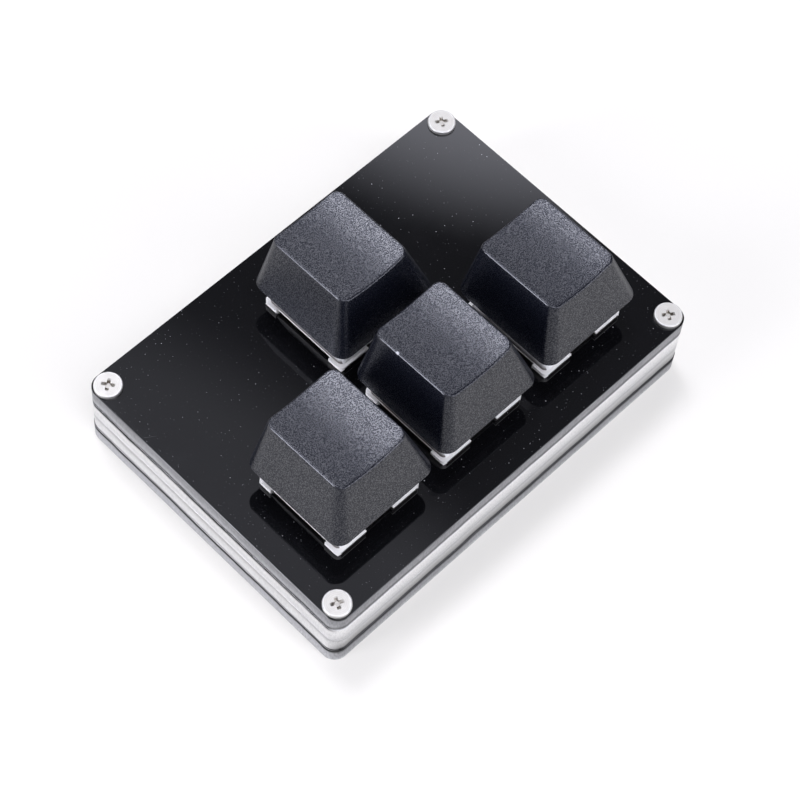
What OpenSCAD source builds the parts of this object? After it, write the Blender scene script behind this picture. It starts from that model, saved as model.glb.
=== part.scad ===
// Four-key macro keypad: a stack of four laser-cut acrylic sheets round a circuit board,
// with four mechanical key switches in an inverted T and tall moulded keycaps.
// Lengths in millimetres, +X along the key row, +Y to the back, +Z up.
// The origin is on the desk, under the middle of the case.

/* [Case sheets] */
// Width of the sheets, left to right
case_w = 66.2; // [65:0.2:90]
// Depth of the sheets, front to back
case_d = 47.4; // [47:0.2:70]
// Radius of the sheets' corners
corner_r = 2; // [1:0.1:4]
// Thickness of the black top plate
top_t = 3; // [3:0.1:4]
// Thickness of each clear frame
frame_t = 3; // [3:0.1:5]
// Thickness of the black bottom plate
base_t = 3; // [2:0.1:6]
// How far the bottom plate stands out past the sheets above it
base_proud = 0.06; // [0:0.02:0.3]
// Width of the clear frames' wall
frame_wall = 4; // [3.5:0.1:4.6]
// Radius of the frames' inner corners
frame_inner_r = 2; // [1:0.1:4]

/* [Case screws] */
// From the sheets' left and right edges to the screws' axes
screw_inset_x = 2.1; // [1.8:0.05:3]
// From the sheets' front and back edges to the screws' axes
screw_inset_y = 2.2; // [1.8:0.05:3]
// Diameter of the screws' shanks
screw_d = 2; // [1.4:0.1:2.4]
// Clearance round a shank in the sheets that it passes
screw_play = 0.1; // [0.05:0.05:0.3]
// Clearance round a shank in the bottom plate, where its thread grips
thread_play = 0.02; // [0.01:0.01:0.05]
// Diameter of the flat screw heads
head_d = 3.9; // [3.2:0.1:5]
// Height of the screw heads
head_h = 0.55; // [0.5:0.05:1.5]
// Rounding of a screw head's rim
head_round = 0.15; // [0.1:0.05:0.45]
// Length of the cross recess in a head
recess_l = 1.9; // [1.2:0.1:2.2]
// Width of the cross recess
recess_w = 0.5; // [0.3:0.05:0.7]
// Depth of the cross recess
recess_h = 0.4; // [0.2:0.05:0.7]
// How far a screw's end stays inside the bottom plate
screw_end = 0.4; // [0.2:0.1:1]

/* [Key layout] */
// Distance between neighbouring keys
pitch = 19.05; // [18.8:0.05:20]
// How far a key travels when it is pressed
travel = 4; // [2:0.1:4]

/* [Switch housing] */
// Width of the square hole in the top plate
cutout = 14; // [13.8:0.05:14.2]
// Clearance between a switch and its hole, each side
cutout_play = 0.05; // [0.02:0.01:0.1]
// Width of the flange that rests on the top plate
flange_w = 14.9; // [14.8:0.1:16]
// Height of the flange
flange_h = 1; // [0.8:0.05:1.2]
// Radius of the flange's corners
flange_r = 0.8; // [0.3:0.1:1.5]
// Length of the notch in the flange's left and right sides
side_notch_l = 10; // [6:0.5:11]
// Length of the notch in the flange's front and back sides
clip_notch_l = 4.8; // [3:0.2:6]
// Depth of the notches
notch_h = 0.4; // [0.2:0.05:0.5]
// Thickness of the lip that is left over the side notches' recesses
notch_lip = 0.25; // [0.2:0.05:0.4]
// Depth of the recesses in the housing's sides, under the notches
relief_w = 0.4; // [0.2:0.05:0.45]
// How far those recesses reach under the top plate's upper face
relief_h = 1.6; // [1:0.1:2]
// Height of the bevel under the flange's rim
bevel_h = 0.4; // [0.2:0.05:0.5]
// Width of that bevel
bevel_w = 0.25; // [0.1:0.05:0.3]
// From the plate's upper face down to the circuit board
below_plate = 5; // [4.8:0.1:5.4]
// Thickness of the switch floor
floor_t = 1; // [0.6:0.1:1.4]
// Thickness of the switch walls
switch_wall = 0.75; // [0.65:0.05:0.85]
// How much narrower the body is under the plate, each side
body_inset = 0.3; // [0.1:0.05:0.4]
// Radius of the body's corners under the plate
body_r = 0.5; // [0.2:0.1:1]
// Diameter of the centre post that locates the switch in the board
post_d = 3.9; // [3.6:0.05:4]
// Length of the centre post under the board's upper face
post_l = 3.3; // [2.8:0.1:3.5]
// Diameter of the two locating pegs
peg_d = 1.7; // [1.2:0.05:1.9]
// Distance of the pegs from the switch's middle
peg_x = 5.08; // [4.8:0.02:5.3]
// Outer diameter of the boss inside the spring
boss_d = 3.2; // [3.1:0.05:3.3]
// Height of the boss over the switch floor
boss_h = 3.6; // [2:0.1:3.6]
// Height of the switch over the top plate
housing_h = 6.6; // [6.4:0.1:6.8]
// Width of the upper housing at its foot
housing_foot = 14; // [13.6:0.1:14.2]
// Width of the upper housing at its top, left to right
housing_top_x = 10.6; // [10.4:0.1:10.8]
// Width of the upper housing at its top, front to back
housing_top_y = 10.4; // [10.2:0.1:10.6]
// Radius of the upper housing's upright corners
housing_r = 0.8; // [0.3:0.1:1.2]
// Wall of the upper housing
housing_wall = 1; // [0.9:0.05:1.05]
// Thickness of the lip that centres the upper housing in the lower one
lip_t = 0.5; // [0.4:0.05:0.6]
// Clearance round that lip, each side
lip_play = 0.1; // [0.05:0.05:0.15]

/* [Stem and spring] */
// Length of the stem's shoulder, left to right
shoulder_x = 7; // [6.8:0.05:7.1]
// Width of the stem's shoulder, front to back
shoulder_y = 5.5; // [5.3:0.05:5.6]
// Thickness of the stem's shoulder over the spring seat
shoulder_t = 1.8; // [1.4:0.1:2]
// Clearance round the shoulder in the housing's opening, each side
shoulder_play = 0.15; // [0.1:0.05:0.2]
// Width over the wings that stop the stem under the housing's roof
wing_x = 8.4; // [8.2:0.05:8.6]
// Width of the wings, front to back
wing_y = 4.2; // [3:0.1:4.4]
// Gap between the wings and the housing's roof when the key is up
stop_play = 0.05; // [0.02:0.01:0.1]
// Space between the spring and the wings
spring_clear = 0.5; // [0.2:0.05:0.6]
// How far the wings hang under the shoulder
wing_drop = 2.8; // [1:0.1:3]
// Height of the cross over the housing
cross_h = 3.6; // [3:0.1:3.8]
// Length of the arms of the cross
cross_l = 4; // [3.9:0.02:4.1]
// Thickness of the arms of the cross
cross_w = 1.15; // [1:0.05:1.3]
// Diameter of the guide pole
pole_d = 2.2; // [1.8:0.05:2.3]
// Clearance round the guide pole, each side
pole_play = 0.15; // [0.1:0.01:0.2]
// Length of the guide pole under the shoulder
pole_l = 7.8; // [6:0.1:8]
// Space left under the pole when the key is fully down
pole_rest = 0.4; // [0.2:0.1:0.6]
// Diameter of the spring's wire
wire_d = 0.3; // [0.2:0.02:0.32]
// Mean diameter of the spring's coils
coil_d = 4.1; // [4:0.02:4.3]
// Number of turns of the spring
coil_turns = 9; // [7:1:10]

/* [Contacts] */
// Width of the contact blades
blade_w = 1; // [0.6:0.05:1.1]
// Thickness of the contact blades
blade_t = 0.3; // [0.15:0.05:0.35]
// Clearance round a blade in the switch floor
blade_play = 0.05; // [0.02:0.01:0.1]
// Length of the pins under the board's upper face
pin_l = 3.3; // [2.6:0.1:3.5]
// Height of the moving contact over the switch floor
leaf_h = 5.5; // [4.5:0.1:6]
// Height of the fixed contact over the switch floor
anvil_h = 4.8; // [4:0.1:5.4]
// Space between the stem's shoulder and the moving contact
leaf_clear = 0.3; // [0.2:0.05:0.5]
// How far the contacts' arms reach past the switch's middle
arm_l = 1; // [0.5:0.1:2]
// Space between the two contacts when the key is up
contact_gap = 0.3; // [0.2:0.05:0.5]

/* [Keycap] */
// Width of the cap at its rim, left to right
cap_x = 17.5; // [17:0.1:18.2]
// Depth of the cap at its rim, front to back
cap_y = 17.4; // [17:0.1:18.2]
// Corner radius at the rim
cap_rim_r = 1.9; // [1.4:0.1:3]
// Height of the rim over the top plate
cap_rim_z = 5.4; // [5.2:0.1:5.8]
// Width of the touch surface, left to right
cap_top_x = 11.8; // [11.6:0.1:13]
// Front edge of the touch surface, in front of the key's middle
cap_front = 5.6; // [5.5:0.1:6.4]
// Back edge of the touch surface, behind the key's middle
cap_back = 7.9; // [7:0.1:8.2]
// Corner radius of the touch surface
cap_top_r = 1.2; // [0.6:0.1:2]
// Radius of the cap's inner corners
cap_inner_r = 0.8; // [0.3:0.1:1.2]
// Height of the touch surface's front edge over the top plate
cap_front_z = 13.9; // [13.5:0.1:14.5]
// Height of the touch surface's back edge over the top plate
cap_back_z = 13.7; // [13.3:0.1:14.5]
// Depth of the finger dish
dish_h = 0.5; // [0.3:0.05:0.6]
// Thickness of the cap's walls
cap_wall = 1.2; // [1:0.05:1.25]
// Thickness of the cap under the bottom of the dish
cap_roof = 1.4; // [1:0.1:1.5]
// Diameter of the socket post under the cap
socket_d = 5.5; // [5.3:0.05:5.6]
// Clearance of the socket over the stem's cross
socket_play = 0.03; // [0.01:0.01:0.06]
// Gap between the socket post and the stem's shoulder
socket_gap = 0.1; // [0.05:0.05:0.3]
// Space over the stem's cross in its socket
socket_room = 0.2; // [0.1:0.05:0.3]
// Thickness of the ribs that brace the socket post
rib_t = 0.8; // [0.5:0.1:1.2]
// Height of those ribs
rib_h = 0.8; // [0.4:0.1:1]

/* [Circuit board] */
// Thickness of the board
board_t = 1.6; // [1.2:0.1:1.8]
// Gap between the board and the frames, all round
board_gap = 0.3; // [0.2:0.05:0.6]
// Clearance round the posts and pegs in the board
hole_play = 0.05; // [0.02:0.01:0.1]
// Diameter of the pin holes in the board
pin_hole_d = 1.5; // [1.3:0.05:1.6]
// Diameter of the solder joints at the board
solder_d = 2.2; // [1.8:0.1:2.3]
// Diameter of the solder joints at their tip
solder_tip = 1.3; // [1.3:0.1:1.6]
// Height of the solder joints
solder_h = 0.9; // [0.5:0.1:1.2]

/* [Board parts] */
// Length of the controller chip's body
chip_l = 9.9; // [8:0.1:10.5]
// Width of the controller chip's body
chip_w = 3.9; // [3.6:0.1:4.4]
// Thickness of the controller chip's body
chip_t = 1.4; // [1:0.1:1.6]
// Number of leads on each side of the chip
chip_leads_n = 8; // [4:1:8]
// Distance between the chip's leads
lead_pitch = 1.27; // [1.27:0.01:1.3]
// Width of a chip lead
lead_w = 0.42; // [0.3:0.02:0.6]
// Thickness of a chip lead
lead_t = 0.2; // [0.15:0.01:0.25]
// How far the chip's leads reach out from its body
lead_out = 1.05; // [0.7:0.05:1.2]
// Length of a diode's body
diode_l = 2.7; // [2.2:0.1:3]
// Width of a diode's body
diode_w = 1.6; // [1.2:0.1:1.8]
// Thickness of a diode's body
diode_t = 1.1; // [0.8:0.1:1.2]
// How far a diode's leads reach out from its body
diode_lead = 0.5; // [0.3:0.1:0.8]
// From a key's middle forwards to its diode
diode_from = 5.7; // [5:0.1:6.5]
// Length of a small chip resistor or capacitor
smd_l = 1.6; // [1.2:0.1:2]
// Width of a small chip resistor or capacitor
smd_w = 0.8; // [0.6:0.1:1.2]
// Thickness of a small chip resistor
resistor_t = 0.45; // [0.3:0.05:0.6]
// Thickness of a small chip capacitor
capacitor_t = 0.8; // [0.5:0.05:1]
// From the socket's middle sideways to the resistors
resistor_from = 5.6; // [5.4:0.1:6.5]
// From the chip's leads forwards to the capacitors
capacitor_from = 1.2; // [0.8:0.1:2]
// Distance between the capacitors
capacitor_pitch = 3; // [2.2:0.1:4]

/* [Cable socket] */
// Width of the socket's metal shell
shell_w = 8.94; // [8.9:0.02:9]
// Height of the shell
shell_h = 3.26; // [3.1:0.02:3.3]
// Length of the shell, from its mouth inwards
shell_l = 6.9; // [6.2:0.1:6.9]
// Thickness of the shell's metal
shell_t = 0.3; // [0.2:0.02:0.34]
// Gap round the shell in the frames and the board, each side
shell_gap = 0.23; // [0.15:0.02:0.4]
// Length of the shell's fixing tabs, outwards over the board
tab_l = 1.2; // [0.8:0.1:1.6]
// Width of those tabs
tab_w = 1.6; // [1:0.1:1.8]
// From the shell's back end to the tabs
tab_from = 0.4; // [0.2:0.1:0.6]
// Thickness of the plastic block at the back of the socket
block_l = 1.6; // [1:0.1:2]
// Width of the socket's tongue
tongue_w = 6.69; // [6.4:0.01:6.9]
// Thickness of the tongue
tongue_t = 0.7; // [0.6:0.02:0.8]
// How far the tongue's tip lies behind the mouth
tongue_back = 0.8; // [0.5:0.1:1.5]
// Number of contacts on each face of the tongue
contact_n = 12; // [4:1:12]
// Distance between the contacts
contact_pitch = 0.5; // [0.45:0.01:0.52]
// Width of a contact
contact_w = 0.25; // [0.15:0.01:0.3]
// Thickness of a contact
contact_t = 0.05; // [0.03:0.01:0.1]
// Length of a contact
contact_l = 3.2; // [2:0.1:3.4]
// From the tongue's tip to the contacts
contact_from = 0.3; // [0.2:0.1:0.6]
// Length of the socket's solder tails under the board
tail_l = 0.7; // [0.4:0.1:0.7]

/* [Hidden] */
$fn = 48;
// A cut's overshoot past a face
eps = 0.01;
// Flat parts in a corner arc of a lofted shape
arc_steps = 6;
// Rings in one turn of the spring, and sides of its wire
coil_rings = 8;
wire_sides = 6;
// Gap at each end of the spring
seat_gap = 0.02;

plate_z = base_t + 2 * frame_t + top_t;
board_z = plate_z - below_plate;
usb_z = board_z - board_t / 2;
frame_w = case_w - 2 * frame_wall;
frame_d = case_d - 2 * frame_wall;
board_w = frame_w - 2 * board_gap;
board_d = frame_d - 2 * board_gap;
screw_x = case_w / 2 - screw_inset_x;
screw_y = case_d / 2 - screw_inset_y;
body_w = cutout - 2 * cutout_play;
cavity_w = body_w - 2 * switch_wall;
lip_w = cavity_w - 2 * lip_play;
floor_z = floor_t - below_plate;
seat_z = housing_h - shoulder_t;
roof_z = housing_h - housing_wall;
cap_slope_x = (cap_x - cap_top_x) / 2 / (cap_front_z - cap_rim_z);
cap_slope_front = (cap_y / 2 - cap_front) / (cap_front_z - cap_rim_z);
cap_slope_back = (cap_y / 2 - cap_back) / (cap_back_z - cap_rim_z);
dish_r = (pow(cap_top_x / 2, 2) + pow(dish_h, 2)) / (2 * dish_h);
ceiling_z = min(cap_front_z, cap_back_z) - dish_h - cap_roof;
shell_back = case_d / 2 - shell_l;
// The cable socket stands behind the left key, beside the upper one
socket_x = -pitch;

// Each key's column and row on the pitch, counted from the case's middle
UP = [0, 0.5];
LEFT = [-1, -0.5];
DOWN = [0, -0.5];
RIGHT = [1, -0.5];
KEYS = [UP, LEFT, DOWN, RIGHT];

// The two pins' places from the switch's middle: the moving leaf's, then the fixed contact's
LEAF_PIN = [-3.81, 2.54];
ANVIL_PIN = [2.54, 5.08];
// Where the leaf and the fixed contact stand inside the housing
leaf_y = shoulder_y / 2 + leaf_clear + blade_t / 2;
anvil_y = leaf_y + blade_t + contact_gap;

// Shared shapes

// A rectangle round the origin with round corners
module rounded(w, d, r) {
    square([w - 2 * r, d], center = true);
    square([w, d - 2 * r], center = true);
    for (x = [-1, 1], y = [-1, 1])
        translate([x * (w / 2 - r), y * (d / 2 - r)]) circle(r);
}

// A box between two corners
module box(low, high) {
    translate(low) cube(high - low);
}

// The points of one level of a lofted shape: a rectangle with round corners
function level(x0, x1, y0, y1, r, z) = [
    for (c = [[x1 - r, y1 - r, 0], [x0 + r, y1 - r, 90], [x0 + r, y0 + r, 180], [x1 - r, y0 + r, 270]])
        for (i = [0:arc_steps])
            [c[0] + r * cos(c[2] + 90 * i / arc_steps), c[1] + r * sin(c[2] + 90 * i / arc_steps), z]
];

// A closed skin over rings of points that each run anticlockwise seen from the last ring
module skin(rings) {
    n = len(rings[0]);
    last = (len(rings) - 1) * n;
    polyhedron(
        points = [for (ring = rings) each ring],
        faces = concat(
            [[for (i = [0:n - 1]) i]],
            [for (j = [0:len(rings) - 2]) for (i = [0:n - 1]) each [
                [j * n + i, (j + 1) * n + i, (j + 1) * n + (i + 1) % n],
                [j * n + i, (j + 1) * n + (i + 1) % n, j * n + (i + 1) % n]
            ]],
            [[for (i = [n - 1:-1:0]) last + i]]
        ),
        convexity = 4
    );
}

// Moves a key's part to its place, with the top plate's upper face as its zero
module at_key(key) {
    translate([key[0] * pitch, key[1] * pitch, plate_z]) children();
}

module at_each_key() {
    for (key = KEYS) at_key(key) children();
}

module at_each_screw() {
    for (x = [-1, 1], y = [-1, 1]) translate([x * screw_x, y * screw_y]) children();
}

// Case sheets

module sheet(w, d, t, hole_d) {
    linear_extrude(t) difference() {
        rounded(w, d, corner_r);
        at_each_screw() circle(d = hole_d);
    }
}

module top_plate() {
    color("#0c0d10") difference() {
        translate([0, 0, plate_z - top_t]) sheet(case_w, case_d, top_t, screw_d + 2 * screw_play);
        at_each_key() translate([0, 0, -top_t / 2]) cube([cutout, cutout, 2 * top_t], center = true);
    }
}

// A frame is open at the back, where the cable socket comes through
module frame(z) {
    gap = shell_w + 2 * shell_gap;
    translate([0, 0, z]) difference() {
        sheet(case_w, case_d, frame_t, screw_d + 2 * screw_play);
        translate([0, 0, -eps]) linear_extrude(frame_t + 2 * eps) {
            rounded(frame_w, frame_d, frame_inner_r);
            translate([socket_x - gap / 2, 0]) square([gap, case_d]);
        }
    }
}

module upper_frame() {
    color("#e8eaee", 0.6) frame(base_t + frame_t);
}

module lower_frame() {
    color("#e8eaee", 0.6) frame(base_t);
}

module bottom_plate() {
    color("#0c0d10")
        sheet(case_w + 2 * base_proud, case_d + 2 * base_proud, base_t, screw_d + 2 * thread_play);
}

// Case screws

module cross_recess() {
    intersection() {
        union() {
            for (a = [0, 90]) rotate([0, 0, a])
                translate([-recess_l / 2, -recess_w / 2, 0]) cube([recess_l, recess_w, recess_h]);
        }
        cylinder(d1 = 1.6 * recess_w, d2 = recess_l, h = recess_h, $fn = 24);
    }
}

module case_screw() {
    difference() {
        union() {
            rotate_extrude() {
                square([head_d / 2 - head_round, head_h]);
                square([head_d / 2, head_h - head_round]);
                translate([head_d / 2 - head_round, head_h - head_round]) circle(head_round, $fn = 24);
            }
            translate([0, 0, screw_end - plate_z]) cylinder(d = screw_d, h = plate_z - screw_end + eps);
        }
        translate([0, 0, head_h - recess_h]) scale([1, 1, 1 + eps]) cross_recess();
    }
}

// Each screw stopped at its own angle
SCREW_TURNS = [-26, -36, -54, -34];

module case_screws() {
    color("#d8d6d0") for (i = [0:3])
        translate([(i % 2 * 2 - 1) * screw_x, (floor(i / 2) * 2 - 1) * screw_y, plate_z])
            rotate([0, 0, SCREW_TURNS[i]]) case_screw();
}

// Circuit board

module at_pins() {
    for (p = [LEAF_PIN, ANVIL_PIN]) translate(p) children();
}

module circuit_board() {
    slot_w = shell_w + 2 * shell_gap;
    color("#1d2b23") translate([0, 0, board_z - board_t]) linear_extrude(board_t) difference() {
        rounded(board_w, board_d, frame_inner_r - board_gap);
        translate([socket_x - slot_w / 2, shell_back - shell_gap / 2]) square([slot_w, board_d]);
        for (key = KEYS) translate([key[0] * pitch, key[1] * pitch]) {
            circle(d = post_d + 2 * hole_play);
            for (x = [-peg_x, peg_x]) translate([x, 0]) circle(d = peg_d + 2 * hole_play);
            at_pins() circle(d = pin_hole_d);
        }
    }
}

module solder_joints() {
    color("#b9bcc0") at_each_key() at_pins() translate([0, 0, -below_plate - board_t])
        difference() {
            mirror([0, 0, 1]) cylinder(d1 = solder_d, d2 = solder_tip, h = solder_h, $fn = 24);
            cube([blade_w, blade_t, 4 * solder_h], center = true);
        }
}

// Cable socket

module pill(w, h) {
    square([w - h, h], center = true);
    for (x = [-1, 1]) translate([x * (w - h) / 2, 0]) circle(d = h);
}

// Turns an outline drawn upright so that it runs inwards from the case's back face
module from_mouth(start, length) {
    translate([socket_x, case_d / 2 - start, usb_z]) rotate([90, 0, 0]) linear_extrude(length) children();
}

module usb_shell() {
    reach = shell_w / 2 + tab_l;
    color("#b4b7bb") difference() {
        union() {
            from_mouth(0, shell_l) pill(shell_w, shell_h);
            box([socket_x - reach, shell_back + tab_from, board_z],
                [socket_x + reach, shell_back + tab_from + tab_w, board_z + shell_t]);
        }
        from_mouth(-eps, shell_l + 2 * eps) pill(shell_w - 2 * shell_t, shell_h - 2 * shell_t);
    }
}

module usb_insert() {
    color("#16171a") {
        from_mouth(shell_l - block_l, block_l)
            pill(shell_w - 2 * shell_t - 2 * eps, shell_h - 2 * shell_t - 2 * eps);
        from_mouth(tongue_back, shell_l - tongue_back - block_l / 2)
            square([tongue_w, tongue_t], center = true);
    }
}

module usb_contacts() {
    color("#c9a24a") {
        for (i = [0:contact_n - 1], side = [-1, 1]) {
            x = (i - (contact_n - 1) / 2) * contact_pitch;
            from_mouth(tongue_back + contact_from, contact_l)
                translate([x, side * (tongue_t + contact_t) / 2])
                    square([contact_w, contact_t], center = true);
        }
        for (i = [0:contact_n - 1]) {
            x = socket_x + (i - (contact_n - 1) / 2) * contact_pitch;
            box([x - contact_w / 2, shell_back - tail_l, board_z - board_t - lead_t],
                [x + contact_w / 2, shell_back, board_z - board_t]);
        }
    }
}

// Small parts under the board

// Places a part on the board's underside, drawn with the board as its floor
module under_board(x, y, turn = 0) {
    translate([x, y, board_z - board_t]) rotate([0, 0, turn]) mirror([0, 0, 1]) children();
}

// The chip's place, between the left key and the cable socket
CHIP_AT = [-pitch, pitch / 2];

module controller_chip() {
    color("#1a1b1d") under_board(CHIP_AT[0], CHIP_AT[1])
        box([-chip_l / 2, -chip_w / 2, lead_t], [chip_l / 2, chip_w / 2, lead_t + chip_t]);
}

module chip_leads() {
    color("#b9bcc0") under_board(CHIP_AT[0], CHIP_AT[1])
        for (i = [0:chip_leads_n - 1], side = [0, 180]) rotate([0, 0, side])
            translate([(i - (chip_leads_n - 1) / 2) * lead_pitch - lead_w / 2, chip_w / 2, 0]) {
                cube([lead_w, lead_out / 2, lead_t + chip_t / 2]);
                cube([lead_w, lead_out, lead_t]);
            }
}

module diodes() {
    color("#202124") for (key = KEYS) under_board(key[0] * pitch, key[1] * pitch - diode_from) {
        translate([-diode_l / 2, -diode_w / 2, 0]) cube([diode_l, diode_w, diode_t]);
        translate([-diode_l / 2 - diode_lead, -diode_w / 4, 0])
            cube([diode_l + 2 * diode_lead, diode_w / 2, lead_t]);
    }
}

module resistors() {
    color("#26282b") for (x = [-1, 1]) under_board(socket_x + x * resistor_from, shell_back, 90)
        translate([-smd_l / 2, -smd_w / 2, 0]) cube([smd_l, smd_w, resistor_t]);
}

module capacitors() {
    y = CHIP_AT[1] - chip_w / 2 - lead_out - capacitor_from;
    color("#9a7a55") for (x = [-1, 0, 1]) under_board(CHIP_AT[0] + x * capacitor_pitch, y)
        translate([-smd_l / 2, 0, 0]) cube([smd_l, smd_w, capacitor_t]);
}

// Switch housing and stem

module flange_outline() {
    difference() {
        rounded(flange_w, flange_w, flange_r);
        for (s = [-1, 1]) {
            translate([s * flange_w / 2, 0]) square([2 * notch_h, side_notch_l], center = true);
            translate([0, s * flange_w / 2]) square([clip_notch_l, 2 * notch_h], center = true);
        }
    }
}

// The bevel under one side of the flange, and a recess behind the notch in that side
module bevel_cut() {
    rotate([90, 0, 0]) linear_extrude(2 * flange_w, center = true) translate([flange_w / 2, 0])
        polygon([[-bevel_w, -bevel_h], [-bevel_w, 0], [0, bevel_h], [bevel_w, bevel_h], [bevel_w, -bevel_h]]);
}

module relief_cut(length, z_high) {
    box([body_w / 2 - relief_w, -length / 2, -relief_h], [flange_w, length / 2, z_high]);
}

module switch_base() {
    color("#f2f2ee") {
        difference() {
            union() {
                linear_extrude(flange_h) flange_outline();
                box([-body_w / 2, -body_w / 2, -top_t], [body_w / 2, body_w / 2, eps]);
                translate([0, 0, -below_plate])
                    linear_extrude(below_plate)
                        rounded(body_w - 2 * body_inset, body_w - 2 * body_inset, body_r);
                translate([0, 0, -below_plate - post_l]) cylinder(d = post_d, h = post_l + eps);
                for (x = [-peg_x, peg_x])
                    translate([x, 0, -below_plate - post_l]) cylinder(d = peg_d, h = post_l + eps);
            }
            translate([0, 0, floor_z]) linear_extrude(flange_h - floor_z + eps)
                square(cavity_w, center = true);
            pole_hole();
            at_pins()
                cube([blade_w + 2 * blade_play, blade_t + 2 * blade_play, 4 * below_plate], center = true);
            for (turn = [0:90:270]) rotate([0, 0, turn]) bevel_cut();
            for (turn = [0, 180]) rotate([0, 0, turn]) relief_cut(side_notch_l, flange_h - notch_lip);
            for (turn = [90, 270]) rotate([0, 0, turn]) relief_cut(clip_notch_l, flange_h + eps);
        }
        difference() {
            translate([0, 0, floor_z - eps]) cylinder(d = boss_d, h = boss_h + eps);
            pole_hole();
        }
    }
}

// The blind hole that the stem's pole runs in
module pole_hole() {
    deep = seat_z - pole_l - travel - pole_rest;
    translate([0, 0, deep]) cylinder(d = pole_d + 2 * pole_play, h = floor_z + boss_h - deep + eps);
}

module housing_shape(inset, z0, z1) {
    // Half widths change evenly from the foot to the top
    function half(top, z) = housing_foot / 2 - inset
        + (top - housing_foot) / 2 * (z - flange_h) / (housing_h - flange_h);
    function at(z) = level(-half(housing_top_x, z), half(housing_top_x, z),
        -half(housing_top_y, z), half(housing_top_y, z), housing_r, z);
    skin([at(z0), at(z1)]);
}

module switch_top() {
    open_x = shoulder_x + 2 * shoulder_play;
    open_y = shoulder_y + 2 * shoulder_play;
    color("#eef0f0", 0.8) {
        difference() {
            housing_shape(0, flange_h, housing_h);
            housing_shape(housing_wall, flange_h - lip_t, roof_z);
            cube([open_x, open_y, 4 * housing_h], center = true);
        }
        linear_extrude(flange_h + lip_t) difference() {
            square(lip_w, center = true);
            square(lip_w - 2 * lip_t, center = true);
        }
    }
}

module cross_shape(play) {
    square([cross_l + 2 * play, cross_w + 2 * play], center = true);
    square([cross_w + 2 * play, cross_l + 2 * play], center = true);
}

module stem() {
    inner_x = (coil_d + wire_d) / 2 + spring_clear;
    color("#b83a34") {
        box([-shoulder_x / 2, -shoulder_y / 2, seat_z], [shoulder_x / 2, shoulder_y / 2, housing_h]);
        translate([0, 0, housing_h - eps]) linear_extrude(cross_h + eps) cross_shape(0);
        for (s = [-1, 1]) scale([s, 1, 1])
            box([inner_x, -wing_y / 2, seat_z - wing_drop], [wing_x / 2, wing_y / 2, roof_z - stop_play]);
        translate([0, 0, seat_z - pole_l]) cylinder(d = pole_d, h = pole_l + eps);
    }
}

// Return spring

spring_low = floor_z + seat_gap + wire_d / 2;
spring_rise = seat_z - floor_z - 2 * seat_gap - wire_d;
spring_steps = coil_turns * coil_rings;

// The middle of the wire after i steps, and a ring of points round it
function coil_at(i) = let (a = 360 * i / coil_rings)
    [coil_d / 2 * cos(a), coil_d / 2 * sin(a), spring_low + spring_rise * i / spring_steps];
function wire_ring(i) = let (a = 360 * i / coil_rings, c = coil_at(i))
    [for (k = [0:wire_sides - 1]) let (b = -360 * k / wire_sides)
        c + wire_d / 2 * [cos(b) * cos(a), cos(b) * sin(a), sin(b)]];

// The least gap between two stretches of the wire that are at least half a turn apart
coil_gap = min([for (i = [0:coil_rings * 2], j = [i + coil_rings / 2:i + coil_rings * 2])
    norm(coil_at(i) - coil_at(j))]) - wire_d;
echo(coil_gap = coil_gap);

module return_spring() {
    color("#c8b37a") skin([for (i = [0:spring_steps]) wire_ring(i)]);
}

// Contacts

module blade(x, y, z0, z1) {
    box([x - blade_w / 2, y - blade_t / 2, z0], [x + blade_w / 2, y + blade_t / 2, z1]);
}

// A pin, its foot on the switch floor, an upright and an arm across the housing
module contact(pin, upright_y, height, arm_end) {
    low = min(pin[1], upright_y) - blade_t / 2;
    high = max(pin[1], upright_y) + blade_t / 2;
    blade(pin[0], pin[1], -below_plate - pin_l, floor_z + blade_t);
    box([pin[0] - blade_w / 2, low, floor_z], [pin[0] + blade_w / 2, high, floor_z + blade_t]);
    blade(pin[0], upright_y, floor_z, floor_z + height);
    box([min(pin[0] - blade_w / 2, arm_end), upright_y - blade_t / 2, floor_z + height - blade_w],
        [max(pin[0] + blade_w / 2, arm_end), upright_y + blade_t / 2, floor_z + height]);
}

module contact_leaf() {
    color("#c9a24a") contact(LEAF_PIN, leaf_y, leaf_h, arm_l);
}

module contact_plate() {
    color("#c9a24a") contact(ANVIL_PIN, anvil_y, anvil_h, -arm_l);
}

// Keycap

// The cap's outer or inner form: its slopes go on past the touch surface
module cap_form(inset, r_low, r_high, z_low, z_high) {
    function at(r, z) = let (up = z - cap_rim_z) level(
        -cap_x / 2 + inset + cap_slope_x * up, cap_x / 2 - inset - cap_slope_x * up,
        -cap_y / 2 + inset + cap_slope_front * up, cap_y / 2 - inset - cap_slope_back * up, r, z);
    skin([at(r_low, z_low), at(r_high, z_high)]);
}

// A long cylinder whose underside is the finger dish, a little lower at the back
module dish() {
    tilt = atan((cap_front_z - cap_back_z) / (cap_front + cap_back));
    translate([0, -cap_front, cap_front_z - dish_h + dish_r]) rotate([-90 - tilt, 0, 0])
        cylinder(r = dish_r, h = 4 * cap_y, center = true, $fn = 360);
}

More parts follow.
